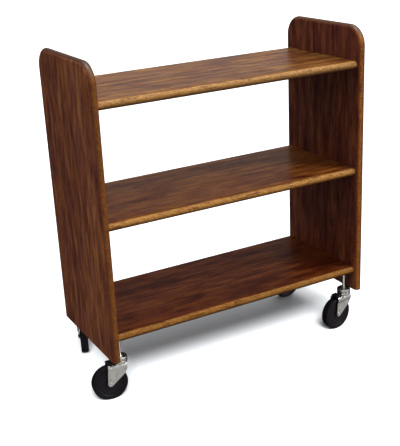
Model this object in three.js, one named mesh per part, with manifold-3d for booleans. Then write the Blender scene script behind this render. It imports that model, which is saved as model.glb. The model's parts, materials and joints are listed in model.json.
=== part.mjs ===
// Book cart: three flat shelves between two end panels, on four braked swivel casters.
// Millimetres, +Z up. X runs along the shelves and the front is towards -Y.
import * as THREE from 'three';
import { mergeVertices } from 'three/addons/utils/BufferGeometryUtils.js';
import Module from 'manifold-3d';

const wasm = await Module();
wasm.setup();

// End panels
const cartWidth = 914.4;
const panelThickness = 25.4;
const panelDepth = 393.7;
const panelHeight = 878;
const panelSkirt = 58;
const panelCornerRadius = 63.5;
const panelEdgeLand = 0.6;

// Shelves
const shelfThickness = 25.4;
const topShelfDrop = 106.6;
const shelfSetback = 11.5;

// Clearances and overruns
const seatGap = 0.3;
const runningGap = 0.5;
const cutOverrun = 5;
const weldOverlap = 1;

// Dowels glued into the shelf ends
const dowelRadius = 4.8;
const dowelPanelDepth = 14;
const dowelEndChamfer = 1.2;
const dowelPlaceShares = [-0.36, 0, 0.36];

// Where the caster stems stand
const stemToPanelFace = 13.6;
const stemToPanelEdge = 48.8;

// Way each caster points, as a share of a full turn from +X, in the order of the corners
const casterCorners = ['front_left', 'front_right', 'rear_left', 'rear_right'];
const casterTurnShares = [0.475, 0.522, 0.196, 0.489];

// Stem, its fixings under the bottom shelf and its kingpin
const stemRadius = 5.56;
const stemBareLength = 59.4;
const stemShelfDepth = 17;
const stemEndChamfer = 1;
const stemShoulderRadius = 8.4;
const stemShoulderHeight = 2.6;
const stemShoulderTaper = 2;
const kingpinRadius = 4.8;
const kingpinHeadRadius = 8.4;
const kingpinHeadHeight = 4;
const insertRadius = 8;
const insertLength = 16.5;
const insertFlangeRadius = 12;
const insertFlangeThickness = 1.6;

// Swivel bearing
const crownTyreGap = 2.5;
const crownThickness = 3.5;
const cupRadius = 22.6;
const cupFootRadius = 19.5;
const cupHeight = 10;
const cupFlare = 3;
const cupRimRound = 0.9;
const raceGap = 1.3;
const raceRadius = 22.6;
const raceHeight = 10;
const raceWall = 4.4;
const raceRound = 2.6;
const ballCount = 8;
const ballRadius = 2.9;
const ballCircleRadius = 15.5;
const ballSink = 0.4;
const cageHalfWidth = 2.4;
const cageThickness = 0.7;
const grooveFloorHalf = 2;
const grooveMouthHalf = 3.6;

// Wheel
const wheelRadius = 55;
const wheelWidth = 25;
const tyreDepth = 9.7;
const tyreShoulder = 3;
const rimWidthLoss = 0.8;
const rimDepth = 5;
const webRecess = 3.2;
const hubRadius = 12.5;
const hubEndGap = 0.5;

// Fork
const casterTrail = 37;
const wheelSideGap = 1.5;
const legThickness = 2.8;
const crownHalfWidth = 19.8;
const crownBend = 5.6;
const flareTopDrop = 8;
const flareFootDrop = 22;
const legEndRadius = 8.5;
const legFrontReach = 17;
const legKneeReach = 10;
const legKneeDrop = 32;
const legRearCorner = 4;
const legRearLean = 3.5;
const lighteningHoleRadius = 2.2;
const lighteningHoleRise = 13.5;

// Axle
const axleRadius = 4;
const sleeveRadius = 6.5;
const axleHeadRadius = 5.2;
const axleHeadHeight = 2.2;
const axleHeadRound = 0.9;
const axleNutRadius = 7.2;
const axleNutHeight = 6;
const axleTail = 2;

// Brake
const brakePivotReach = 23.5;
const brakePivotDrop = 3.4;
const brakePinRadius = 1.8;
const brakePinHeadRadius = 3.2;
const brakePinHeadHeight = 1.3;
const brakeLugRadius = 3.3;
const brakeHubRadius = 3.6;
const pedalSideGap = 0.8;
const pedalFrontGap = 2;
const pedalFrontRise = 5.4;
const pedalRearRise = 4.2;
const pedalReach = 21;
const pedalTipRound = 1.2;
const pedalTipLift = 3.4;
const pedalRibCount = 4;
const pedalRibHeight = 0.8;
const pedalRibPitch = 3.6;
const pedalRibWidth = 1.8;
const pedalRibStart = 2.6;
const shoeReachStart = 5;
const shoeReachEnd = 14;
const shoeTyreGap = 2.3;
const slotFrontGap = 0.7;
const springWidth = 10;
const springThickness = 0.8;
const springStart = 10.2;
const springBendReach = 14.5;
const springTipReach = 19.6;
const springTipDrop = 1.6;

// Numbers of facets
const edgeSegments = 3;
const cornerSegments = 6;
const noseSegments = 7;
const dowelSides = 6;
const stemSides = 12;
const raceSides = 20;
const cageSides = 16;
const wheelSides = 24;
const boltSides = 8;
const bendSegments = 3;
const endSegments = 5;
const hexSides = 6;

// Sizes that follow from the ones above
const panelFaceX = cartWidth / 2 - panelThickness;
const shelfDepth = panelDepth - 2 * shelfSetback;
const stemX = panelFaceX - stemToPanelFace;
const stemY = panelDepth / 2 - stemToPanelEdge;
const axleHeight = wheelRadius;
const crownUnderside = axleHeight + wheelRadius + crownTyreGap;
const crownTop = crownUnderside + crownThickness;
const cupTop = crownTop + cupHeight;
const raceUnderside = cupTop + raceGap;
const raceTop = raceUnderside + raceHeight;
const ballHeight = cupTop + ballSink;
const stemShoulderFoot = raceTop + seatGap;
const shelfUnderside = stemShoulderFoot + stemBareLength;
const bottomShelfTop = shelfUnderside + shelfThickness;
const panelFloorGap = shelfUnderside - panelSkirt;
const panelTop = panelFloorGap + panelHeight;
const shelfPitch = (panelTop - topShelfDrop - bottomShelfTop) / 2;
const stemTop = shelfUnderside + stemShelfDepth;
const forkInnerHalf = wheelWidth / 2 + wheelSideGap;
const forkOuterHalf = forkInnerHalf + legThickness;
const brakePivotHeight = crownTop - brakePivotDrop;

// Finishes
const finishes = {
  outerWood: { color: 0x4a2a1b, roughness: 0.42, metalness: 0 },
  shelfWood: { color: 0x6b3d24, roughness: 0.4, metalness: 0 },
  zinc: { color: 0xc4c6c8, roughness: 0.28, metalness: 1 },
  chrome: { color: 0xdadcde, roughness: 0.12, metalness: 1 },
  brass: { color: 0xb8974f, roughness: 0.35, metalness: 1 },
  rubber: { color: 0x1b1b1d, roughness: 0.6, metalness: 0 },
  core: { color: 0x222224, roughness: 0.45, metalness: 0 },
  pedal: { color: 0x161617, roughness: 0.4, metalness: 0 },
};

// Closed solids and booleans

function closedGeometry(geometry) {
  const plain = geometry.clone();
  plain.deleteAttribute('normal');
  plain.deleteAttribute('uv');
  const merged = mergeVertices(plain);
  const source = merged.index.array;
  const kept = [];
  for (let i = 0; i < source.length; i += 3) {
    const [a, b, c] = [source[i], source[i + 1], source[i + 2]];
    if (a !== b && b !== c && c !== a) kept.push(a, b, c);
  }
  merged.setIndex(kept);
  if (signedVolume(merged) < 0) {
    for (let i = 0; i < kept.length; i += 3) [kept[i], kept[i + 1]] = [kept[i + 1], kept[i]];
    merged.setIndex(kept);
  }
  return merged;
}

function signedVolume(geometry) {
  const { index, attributes } = geometry;
  const corner = [new THREE.Vector3(), new THREE.Vector3(), new THREE.Vector3()];
  const cross = new THREE.Vector3();
  let sum = 0;
  for (let i = 0; i < index.count; i += 3) {
    corner.forEach((point, k) => point.fromBufferAttribute(attributes.position, index.getX(i + k)));
    sum += corner[0].dot(cross.crossVectors(corner[1], corner[2]));
  }
  return sum;
}

function toSolid(geometry) {
  const closed = closedGeometry(geometry);
  return new wasm.Manifold(new wasm.Mesh({
    numProp: 3,
    vertProperties: new Float32Array(closed.attributes.position.array),
    triVerts: new Uint32Array(closed.index.array),
  }));
}

function toGeometry(solid) {
  const mesh = solid.getMesh();
  const geometry = new THREE.BufferGeometry();
  geometry.setAttribute('position', new THREE.BufferAttribute(new Float32Array(mesh.vertProperties), 3));
  geometry.setIndex(Array.from(mesh.triVerts));
  return geometry;
}

function subtractAll(solid, cutters) {
  return cutters.reduce((left, cutter) => left.subtract(toSolid(cutter)), solid);
}

// Placing shapes: a drawn shape is (x, y) and its extrusion runs along z

const unitX = new THREE.Vector3(1, 0, 0);
const unitY = new THREE.Vector3(0, 1, 0);
const unitZ = new THREE.Vector3(0, 0, 1);
const sideToCart = new THREE.Matrix4().makeBasis(unitY, unitZ, unitX);

function extruded(shape, length, curveSegments) {
  const geometry = new THREE.ExtrudeGeometry(shape, { depth: length, bevelEnabled: false, curveSegments });
  return geometry.translate(0, 0, -length / 2);
}

function alongX(shape, length, curveSegments) {
  return extruded(shape, length, curveSegments).applyMatrix4(sideToCart);
}

function acrossFork(shape, length, curveSegments) {
  return extruded(shape, length, curveSegments).rotateX(Math.PI / 2);
}

function rodAlongX(radius, length, sides) {
  return new THREE.CylinderGeometry(radius, radius, length, sides).rotateZ(Math.PI / 2);
}

function turnedAcross(profile, sides) {
  return new THREE.LatheGeometry(profile.map(([r, y]) => new THREE.Vector2(r, y)), sides);
}

function turnedUpright(profile, sides) {
  return turnedAcross(profile, sides).rotateX(Math.PI / 2);
}

function hexNut(cornerRadius, boreRadius, height) {
  const shape = new THREE.Shape();
  for (let side = 0; side < hexSides; side += 1) {
    const angle = (side / hexSides) * 2 * Math.PI;
    const corner = [cornerRadius * Math.cos(angle), cornerRadius * Math.sin(angle)];
    if (side === 0) shape.moveTo(...corner);
    else shape.lineTo(...corner);
  }
  shape.closePath();
  shape.holes.push(new THREE.Path().absarc(0, 0, boreRadius, 0, 2 * Math.PI, true));
  return extruded(shape, height, boltSides);
}

function named(name, geometry, finish) {
  const mesh = new THREE.Mesh(closedGeometry(geometry), new THREE.MeshStandardMaterial(finishes[finish]));
  mesh.name = name;
  return mesh;
}

// Shelf tops, and the dowel places as [y, z] in the plane of an end panel

const shelfNames = ['bottom_shelf', 'middle_shelf', 'top_shelf'];
const shelfTops = Object.fromEntries(
  shelfNames.map((name, level) => [name, bottomShelfTop + level * shelfPitch]),
);

function dowelPlaces(shelfTop) {
  return dowelPlaceShares.map((share) => [share * shelfDepth, shelfTop - shelfThickness / 2]);
}

const allDowelPlaces = Object.values(shelfTops).flatMap(dowelPlaces);

// An end panel has a full round on its front, top and rear edges and a square foot.
// The rounded outline is drawn longer at the foot and cut off there.

function endPanel(side) {
  const noseRadius = (panelThickness - panelEdgeLand) / 2;
  const half = panelDepth / 2;
  const foot = panelFloorGap - noseRadius - cutOverrun;
  const outline = new THREE.Shape();
  outline.moveTo(-half, foot);
  outline.lineTo(half, foot);
  const cornerHeight = panelTop - panelCornerRadius;
  outline.absarc(half - panelCornerRadius, cornerHeight, panelCornerRadius, 0, Math.PI / 2, false);
  outline.absarc(panelCornerRadius - half, cornerHeight, panelCornerRadius, Math.PI / 2, Math.PI, false);
  outline.closePath();
  const board = new THREE.ExtrudeGeometry(outline, {
    depth: panelEdgeLand,
    bevelSize: noseRadius,
    bevelOffset: -noseRadius,
    bevelThickness: noseRadius,
    bevelSegments: edgeSegments,
    curveSegments: cornerSegments,
  });
  board.translate(0, 0, -panelEdgeLand / 2).applyMatrix4(sideToCart);
  board.translate(side * (cartWidth - panelThickness) / 2, 0, 0);
  const footCut = new THREE.BoxGeometry(cartWidth, 2 * panelDepth, 2 * panelFloorGap);
  const holes = allDowelPlaces.map(([y, z]) => {
    const length = dowelPanelDepth + seatGap + cutOverrun;
    const middle = panelFaceX + (dowelPanelDepth + seatGap - cutOverrun) / 2;
    return rodAlongX(dowelRadius + seatGap, length, dowelSides).translate(side * middle, y, z);
  });
  return toGeometry(subtractAll(toSolid(board), [footCut, ...holes]));
}

// A shelf is a board with full round front and rear edges and glued dowels in both ends

function shelfBoard(shelfTop) {
  const radius = shelfThickness / 2;
  const centre = shelfTop - radius;
  const section = new THREE.Shape();
  section.absarc(shelfDepth / 2 - radius, centre, radius, -Math.PI / 2, Math.PI / 2, false);
  section.absarc(radius - shelfDepth / 2, centre, radius, Math.PI / 2, 1.5 * Math.PI, false);
  section.closePath();
  const length = 2 * (panelFaceX - seatGap);
  let board = toSolid(alongX(section, length, noseSegments));
  for (const side of [-1, 1]) {
    for (const [y, z] of dowelPlaces(shelfTop)) board = board.add(toSolid(dowel(side).translate(0, y, z)));
  }
  return toGeometry(shelfTop === bottomShelfTop ? subtractAll(board, stemPlaces().map(stemSocket)) : board);
}

// The dowel's root reaches into the shelf far enough to be one with it
function dowel(side) {
  const tip = dowelRadius - dowelEndChamfer;
  const root = panelFaceX - seatGap - weldOverlap;
  const end = panelFaceX + dowelPanelDepth;
  return turnedAcross([
    [0, root],
    [dowelRadius, root],
    [dowelRadius, end - dowelEndChamfer],
    [tip, end],
    [0, end],
  ], dowelSides).rotateZ(-side * Math.PI / 2);
}

function stemSocket([x, y]) {
  const depth = insertLength + seatGap;
  return turnedUpright([
    [0, shelfUnderside - cutOverrun],
    [insertRadius + seatGap, shelfUnderside - cutOverrun],
    [insertRadius + seatGap, shelfUnderside + depth],
    [stemRadius + seatGap, shelfUnderside + depth],
    [stemRadius + seatGap, stemTop + seatGap],
    [0, stemTop + seatGap],
  ], stemSides).translate(x, y, 0);
}

function stemPlaces() {
  return casterCorners.map(stemPlace);
}

function stemPlace(corner) {
  return [corner.endsWith('left') ? -stemX : stemX, corner.startsWith('front') ? -stemY : stemY];
}

// The threaded insert sits in the bottom shelf, with its flange against the underside

function stemInsert() {
  const flangeTop = shelfUnderside - seatGap;
  const bore = stemRadius + seatGap;
  return turnedUpright([
    [bore, flangeTop - insertFlangeThickness],
    [insertFlangeRadius, flangeTop - insertFlangeThickness],
    [insertFlangeRadius, flangeTop],
    [insertRadius, flangeTop],
    [insertRadius, shelfUnderside + insertLength],
    [bore, shelfUnderside + insertLength],
    [bore, flangeTop - insertFlangeThickness],
  ], stemSides);
}

// The stem turns down to the kingpin, whose riveted head carries the fork from below

function stem() {
  const headTop = crownUnderside - runningGap;
  const shoulderTop = stemShoulderFoot + stemShoulderHeight;
  return turnedUpright([
    [0, headTop - kingpinHeadHeight],
    [kingpinHeadRadius - stemEndChamfer, headTop - kingpinHeadHeight],
    [kingpinHeadRadius, headTop - kingpinHeadHeight + stemEndChamfer],
    [kingpinHeadRadius, headTop],
    [kingpinRadius, headTop],
    [kingpinRadius, stemShoulderFoot],
    [stemShoulderRadius, stemShoulderFoot],
    [stemShoulderRadius, shoulderTop],
    [stemRadius, shoulderTop + stemShoulderTaper],
    [stemRadius, stemTop - stemEndChamfer],
    [stemRadius - stemEndChamfer, stemTop],
    [0, stemTop],
  ], stemSides);
}

// The upper raceway is a domed ring with a ball groove in its underside

function upperRaceway() {
  const bore = (kingpinRadius + seatGap) / Math.cos(Math.PI / raceSides);
  const roof = ballHeight + ballRadius + seatGap;
  return turnedUpright([
    [bore, raceUnderside],
    [ballCircleRadius - grooveMouthHalf, raceUnderside],
    [ballCircleRadius - grooveFloorHalf, roof],
    [ballCircleRadius + grooveFloorHalf, roof],
    [ballCircleRadius + grooveMouthHalf, raceUnderside],
    [raceRadius, raceUnderside],
    [raceRadius, raceUnderside + raceWall],
    [raceRadius - raceRound / 3, raceTop - raceRound / 3],
    [raceRadius - raceRound, raceTop],
    [bore, raceTop],
    [bore, raceUnderside],
  ], raceSides);
}

function ballCage() {
  const inner = ballCircleRadius - cageHalfWidth;
  const outer = ballCircleRadius + cageHalfWidth;
  const low = (cupTop + raceUnderside - cageThickness) / 2;
  const high = low + cageThickness;
  const section = [[inner, low], [outer, low], [outer, high], [inner, high], [inner, low]];
  let cage = toSolid(turnedUpright(section, cageSides));
  for (let i = 0; i < ballCount; i += 1) {
    const angle = (i / ballCount) * 2 * Math.PI;
    const ball = new THREE.OctahedronGeometry(ballRadius, 0);
    ball.translate(ballCircleRadius * Math.cos(angle), ballCircleRadius * Math.sin(angle), ballHeight);
    cage = cage.add(toSolid(ball));
  }
  return toGeometry(cage);
}

// The fork is one pressing: a bent channel trimmed to the leg outline, with the ball cup on its crown.
// In the fork's own axes +X points from the stem to the axle and +Y across the wheel.

function channelSection() {
  const foot = axleHeight - legEndRadius - cutOverrun;
  const flareFoot = crownTop - flareFootDrop;
  const flareTop = crownTop - flareTopDrop;
  const inner = crownHalfWidth - legThickness;
  const flat = crownHalfWidth - crownBend;
  const section = new THREE.Shape();
  section.moveTo(-forkOuterHalf, foot);
  section.lineTo(-forkInnerHalf, foot);
  section.lineTo(-forkInnerHalf, flareFoot);
  section.lineTo(-inner, flareTop);
  section.quadraticCurveTo(-inner, crownUnderside, -flat, crownUnderside);
  section.lineTo(flat, crownUnderside);
  section.quadraticCurveTo(inner, crownUnderside, inner, flareTop);
  section.lineTo(forkInnerHalf, flareFoot);
  section.lineTo(forkInnerHalf, foot);
  section.lineTo(forkOuterHalf, foot);
  section.lineTo(forkOuterHalf, flareFoot);
  section.lineTo(crownHalfWidth, flareTop);
  section.quadraticCurveTo(crownHalfWidth, crownTop, flat, crownTop);
  section.lineTo(-flat, crownTop);
  section.quadraticCurveTo(-crownHalfWidth, crownTop, -crownHalfWidth, flareTop);
  section.lineTo(-forkOuterHalf, flareFoot);
  section.closePath();
  return section;
}

function legOutline() {
  const knee = new THREE.Vector2(-legKneeReach, crownTop - legKneeDrop);
  const toAxle = new THREE.Vector2(casterTrail, axleHeight).sub(knee);
  const edgeAngle = toAxle.angle() - Math.asin(legEndRadius / toAxle.length());
  const rearTop = casterTrail + legEndRadius - legRearLean;
  const outline = new THREE.Shape();
  outline.moveTo(-legFrontReach, crownTop);
  outline.lineTo(-legFrontReach, crownUnderside);
  outline.quadraticCurveTo(-legFrontReach, (knee.y + crownUnderside) / 2, knee.x, knee.y);
  outline.absarc(casterTrail, axleHeight, legEndRadius, edgeAngle - Math.PI / 2, 0, false);
  outline.absarc(rearTop - legRearCorner, crownTop - legRearCorner, legRearCorner, 0, Math.PI / 2, false);
  outline.closePath();
  return outline;
}

function ballCup() {
  const floor = ballHeight - ballRadius - seatGap;
  return turnedUpright([
    [0, crownTop - weldOverlap],
    [cupFootRadius, crownTop - weldOverlap],
    [cupRadius, crownTop + cupFlare],
    [cupRadius, cupTop - cupRimRound],
    [cupRadius - cupRimRound, cupTop],
    [ballCircleRadius + grooveMouthHalf, cupTop],
    [ballCircleRadius + grooveFloorHalf, floor],
    [ballCircleRadius - grooveFloorHalf, floor],
    [ballCircleRadius - grooveMouthHalf, cupTop],
    [0, cupTop],
  ], raceSides);
}

function crossHole(radius, reach, height) {
  const length = 2 * (crownHalfWidth + cutOverrun);
  return new THREE.CylinderGeometry(radius, radius, length, boltSides).translate(reach, 0, height);
}

function fork() {
  const reach = 2 * (casterTrail + legEndRadius + cutOverrun);
  const channel = toSolid(alongX(channelSection(), reach, bendSegments));
  const outline = toSolid(acrossFork(legOutline(), 2 * (crownHalfWidth + cutOverrun), endSegments));
  const lug = new THREE.CylinderGeometry(brakeLugRadius, brakeLugRadius, 2 * crownHalfWidth, boltSides);
  lug.translate(brakePivotReach, 0, brakePivotHeight);
  const slotStart = brakePivotReach - brakeHubRadius - slotFrontGap;
  const slotLength = casterTrail + legEndRadius + cutOverrun - slotStart;
  const slotHeight = crownThickness + cutOverrun;
  const slot = new THREE.BoxGeometry(slotLength, 2 * forkInnerHalf, slotHeight);
  slot.translate(slotStart + slotLength / 2, 0, crownTop + seatGap - slotHeight / 2);
  const boreRadius = kingpinRadius + runningGap;
  const bore = new THREE.CylinderGeometry(boreRadius, boreRadius, 2 * (cupHeight + cutOverrun), stemSides);
  bore.rotateX(Math.PI / 2).translate(0, 0, crownTop);
  const pressing = channel.intersect(outline).add(toSolid(lug)).add(toSolid(ballCup()));
  return toGeometry(subtractAll(pressing, [
    slot,
    bore,
    crossHole(axleRadius + seatGap, casterTrail, axleHeight),
    crossHole(lighteningHoleRadius, casterTrail, axleHeight + lighteningHoleRise),
    crossHole(brakePinRadius + seatGap, brakePivotReach, brakePivotHeight),
  ]));
}

// The axle pieces and the wheel are drawn about the axle, which lies along Y

function axleBolt() {
  const headFoot = forkOuterHalf + seatGap;
  const tail = forkOuterHalf + 2 * seatGap + axleNutHeight + axleTail;
  const shank = turnedAcross([
    [0, -tail],
    [axleRadius, -tail],
    [axleRadius, headFoot + weldOverlap],
    [0, headFoot + weldOverlap],
  ], boltSides);
  const headTop = headFoot + axleHeadHeight;
  const head = turnedAcross([
    [0, headFoot],
    [axleHeadRadius, headFoot],
    [axleHeadRadius, headTop - axleHeadRound],
    [axleHeadRadius - axleHeadRound, headTop],
    [0, headTop],
  ], stemSides);
  return toGeometry(toSolid(shank).add(toSolid(head)));
}

function axleNut() {
  const nut = hexNut(axleNutRadius, axleRadius + seatGap, axleNutHeight).rotateX(Math.PI / 2);
  return nut.translate(0, -(forkOuterHalf + seatGap + axleNutHeight / 2), 0);
}

function axleSleeve() {
  const half = forkInnerHalf - seatGap;
  const bore = axleRadius + seatGap;
  const section = [[bore, -half], [sleeveRadius, -half], [sleeveRadius, half], [bore, half], [bore, -half]];
  return turnedAcross(section, boltSides);
}

// A mirrored section is drawn from its middle plane outwards, as [radius, half width]

function mirroredRing(halfSection) {
  const lower = halfSection.map(([r, y]) => [r, -y]);
  const upper = [...halfSection].reverse();
  return turnedAcross([...lower, ...upper, lower[0]], wheelSides).rotateY(Math.PI / wheelSides);
}

function tyre() {
  const half = wheelWidth / 2;
  const innerRadius = wheelRadius - tyreDepth;
  return mirroredRing([
    [innerRadius, half],
    [wheelRadius - tyreShoulder, half],
    [wheelRadius, half - tyreShoulder],
  ]);
}

function wheelCore() {
  const half = wheelWidth / 2;
  const rimRadius = wheelRadius - tyreDepth - seatGap / Math.cos(Math.PI / wheelSides);
  const hubHalf = forkInnerHalf - hubEndGap;
  return mirroredRing([
    [sleeveRadius + runningGap, hubHalf],
    [hubRadius, hubHalf],
    [hubRadius, half - webRecess],
    [rimRadius - rimDepth, half - webRecess],
    [rimRadius, half - rimWidthLoss],
  ]);
}

// The brake pieces are drawn about the pedal's pivot pin, which lies along Y

function pedalOutline() {
  const frontTop = cupRadius + pedalFrontGap - brakePivotReach;
  const topFront = pedalFrontRise + brakePivotDrop;
  const topRear = pedalRearRise + brakePivotDrop;
  const slope = (topRear - topFront) / (pedalReach - frontTop);
  const topAt = (x) => topFront + slope * (x - frontTop);
  const tyreTop = axleHeight + wheelRadius - brakePivotHeight;
  const shoeFoot = tyreTop + shoeTyreGap;
  const outline = new THREE.Shape();
  outline.moveTo(frontTop, topFront);
  outline.lineTo(-brakeHubRadius, 0);
  outline.absarc(0, 0, brakeHubRadius, Math.PI, 1.75 * Math.PI, false);
  outline.lineTo(shoeReachStart, shoeFoot);
  outline.lineTo(shoeReachEnd, shoeFoot);
  outline.lineTo(pedalReach - pedalTipRound, shoeFoot + pedalTipLift);
  outline.lineTo(pedalReach, shoeFoot + pedalTipLift + pedalTipRound);
  outline.lineTo(pedalReach, topRear - pedalTipRound);
  outline.lineTo(pedalReach - pedalTipRound, topAt(pedalReach - pedalTipRound));
  for (const rib of Array(pedalRibCount).keys()) {
    const end = pedalReach - pedalRibStart - rib * pedalRibPitch;
    const start = end - pedalRibWidth;
    outline.lineTo(end, topAt(end));
    outline.lineTo(end, topAt(end) + pedalRibHeight);
    outline.lineTo(start, topAt(start) + pedalRibHeight);
    outline.lineTo(start, topAt(start));
  }
  outline.closePath();
  outline.holes.push(new THREE.Path().absarc(0, 0, brakePinRadius + runningGap, 0, 2 * Math.PI, true));
  return outline;
}

function brakePedal() {
  return acrossFork(pedalOutline(), 2 * (forkInnerHalf - pedalSideGap), boltSides);
}

function brakePin() {
  const end = crownHalfWidth + seatGap + brakePinHeadHeight;
  const headFoot = crownHalfWidth + seatGap;
  return turnedAcross([
    [0, -end],
    [brakePinHeadRadius, -end],
    [brakePinHeadRadius, -headFoot],
    [brakePinRadius, -headFoot],
    [brakePinRadius, headFoot],
    [brakePinHeadRadius, headFoot],
    [brakePinHeadRadius, end],
    [0, end],
  ], boltSides);
}

// A flat spring under the crown bears on the pedal's hub and holds it up or down

function brakeSpring() {
  const top = crownUnderside - seatGap;
  const strip = new THREE.Shape();
  strip.moveTo(springStart, top);
  strip.lineTo(springStart, top - springThickness);
  strip.lineTo(springBendReach, top - springThickness);
  strip.lineTo(springTipReach, top - springThickness - springTipDrop);
  strip.lineTo(springTipReach, top - springTipDrop);
  strip.lineTo(springBendReach, top);
  strip.closePath();
  return acrossFork(strip, springWidth, 1);
}

// Assembly

function caster(corner, turnShare) {
  const [x, y] = stemPlace(corner);
  const place = new THREE.Group();
  place.position.set(x, y, 0);
  place.add(named(`${corner}_stem_insert`, stemInsert(), 'brass'));
  place.add(named(`${corner}_stem`, stem(), 'chrome'));
  place.add(named(`${corner}_upper_raceway`, upperRaceway(), 'zinc'));
  const swivel = new THREE.Group();
  swivel.rotation.z = turnShare * 2 * Math.PI;
  swivel.add(named(`${corner}_fork`, fork(), 'zinc'));
  swivel.add(named(`${corner}_ball_cage`, ballCage(), 'chrome'));
  swivel.add(named(`${corner}_brake_spring`, brakeSpring(), 'zinc'));
  const axle = new THREE.Group();
  axle.position.set(casterTrail, 0, axleHeight);
  axle.add(named(`${corner}_axle_bolt`, axleBolt(), 'zinc'));
  axle.add(named(`${corner}_axle_nut`, axleNut(), 'zinc'));
  axle.add(named(`${corner}_axle_sleeve`, axleSleeve(), 'zinc'));
  axle.add(named(`${corner}_wheel_core`, wheelCore(), 'core'));
  axle.add(named(`${corner}_tyre`, tyre(), 'rubber'));
  const pivot = new THREE.Group();
  pivot.position.set(brakePivotReach, 0, brakePivotHeight);
  pivot.add(named(`${corner}_brake_pedal`, brakePedal(), 'pedal'));
  pivot.add(named(`${corner}_brake_pin`, brakePin(), 'zinc'));
  swivel.add(axle, pivot);
  place.add(swivel);
  return place;
}

const cart = new THREE.Group();
cart.add(named('left_end_panel', endPanel(-1), 'outerWood'));
cart.add(named('right_end_panel', endPanel(1), 'outerWood'));
for (const [name, top] of Object.entries(shelfTops)) cart.add(named(name, shelfBoard(top), 'shelfWood'));
casterCorners.forEach((corner, index) => cart.add(caster(corner, casterTurnShares[index])));

// The origin is under the middle of everything, at the level of the floor
cart.updateMatrixWorld(true);
const bounds = new THREE.Box3().setFromObject(cart, true);
const middle = bounds.getCenter(new THREE.Vector3());
cart.position.set(-middle.x, -middle.y, -bounds.min.z);

export default cart;
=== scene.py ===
# Looks of a wooden book cart on swivel casters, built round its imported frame.
# Shapes are drawn in millimetres. The frame, the materials and the camera are in metres.
import json
import math

import bmesh
import bpy
from mathutils import Matrix, Vector

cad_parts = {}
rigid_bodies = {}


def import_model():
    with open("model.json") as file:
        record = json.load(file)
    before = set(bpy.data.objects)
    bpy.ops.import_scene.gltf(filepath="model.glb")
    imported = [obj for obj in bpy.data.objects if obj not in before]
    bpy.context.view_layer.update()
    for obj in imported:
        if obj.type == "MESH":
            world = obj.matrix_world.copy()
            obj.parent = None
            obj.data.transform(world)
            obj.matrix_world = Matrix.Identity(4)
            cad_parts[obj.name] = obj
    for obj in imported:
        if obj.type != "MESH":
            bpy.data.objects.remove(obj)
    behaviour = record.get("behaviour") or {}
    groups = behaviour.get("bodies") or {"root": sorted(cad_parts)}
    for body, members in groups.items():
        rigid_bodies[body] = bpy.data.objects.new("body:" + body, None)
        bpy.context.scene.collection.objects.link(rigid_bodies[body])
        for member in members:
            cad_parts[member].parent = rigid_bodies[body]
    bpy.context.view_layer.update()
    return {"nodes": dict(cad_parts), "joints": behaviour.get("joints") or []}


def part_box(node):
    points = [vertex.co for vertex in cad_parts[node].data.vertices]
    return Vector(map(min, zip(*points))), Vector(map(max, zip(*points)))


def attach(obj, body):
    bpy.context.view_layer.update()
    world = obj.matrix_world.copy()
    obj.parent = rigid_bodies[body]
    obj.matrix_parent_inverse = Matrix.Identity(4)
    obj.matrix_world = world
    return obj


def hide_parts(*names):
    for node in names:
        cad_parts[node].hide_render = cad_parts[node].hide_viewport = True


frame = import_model()
JOINTS = {joint["name"]: joint for joint in frame["joints"]}
MM = 0.001

# Boards, with heights above the floor
CART_WIDTH = 914.4
BOARD = 25.4
PANEL_DEPTH = 393.7
PANEL_FOOT = 139.0
PANEL_TOP = 1017.0
PANEL_CORNER = 63.5
PANEL_CORNER_STEPS = 24
EDGE_LAND = 0.6
PANEL_EDGE_STEPS = 14
SHELF_DEPTH = 370.7
SHELF_TOPS = {"bottom_shelf": 222.4, "middle_shelf": 566.4, "top_shelf": 910.4}
SHELF_EDGE_STEPS = 18
SEAT_GAP = 0.3

# Casters, drawn with the stem's axis on Z, the wheel behind it on +X and the floor at 0
CORNERS = ("front_left", "front_right", "rear_left", "rear_right")
TRAIL = 37.0
AXLE_HEIGHT = 55.0
PIVOT_REACH = 23.5
PIVOT_HEIGHT = 112.6

# Wheel
WHEEL_RADIUS = 54.5
WHEEL_HALF = 12.5
TYRE_INNER = 45.6
TYRE_SHOULDER = 3.2
TYRE_RINGS = 3
TYRE_RING_PITCH = 1.5
TYRE_RING_DEPTH = 0.35

# Fork seen from the side: each leg's front edge curves back from the crown to a knee, then slants down
# to FRONT_END, where the round foot about the axle begins
LEG_REACH = 17.0
LEG_TOP = 112.5
KNEE_REACH = 10.0
KNEE_HEIGHT = 84.0
FRONT_SLOPE = 0.855
FRONT_END = 48.54
REAR_LEAN = 3.5
REAR_CORNER = 4.0
REAR_TOP = 112.0
LEG_END = 8.5

# Fork seen along the wheel: straight legs, a neck that widens and a bend into the flat crown
SHEET = 2.8
LEG_HALF = 15.4
CROWN_HALF = 18.4
NECK_FOOT = 92.0
NECK_TOP = 106.0
BEND_REACH = 6.0
BEND_RISE = 8.6
BEND_ANGLES = (12, 24, 36, 48, 60, 74.53, 90)
CROWN_HALVES = (9.0, 4.5)
CROWN_MIDDLE = NECK_TOP + BEND_RISE
FOOT_STEPS = 8
LEG_STEPS = 7
NECK_STEPS = 8

# Slot for the pedal in the crown's rear part, and the small hole above the axle
SLOT_HALF = 14.1
SLOT_START = 0.6237
HOLE_RISE = 13.5
HOLE_RADIUS = 2.2

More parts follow.
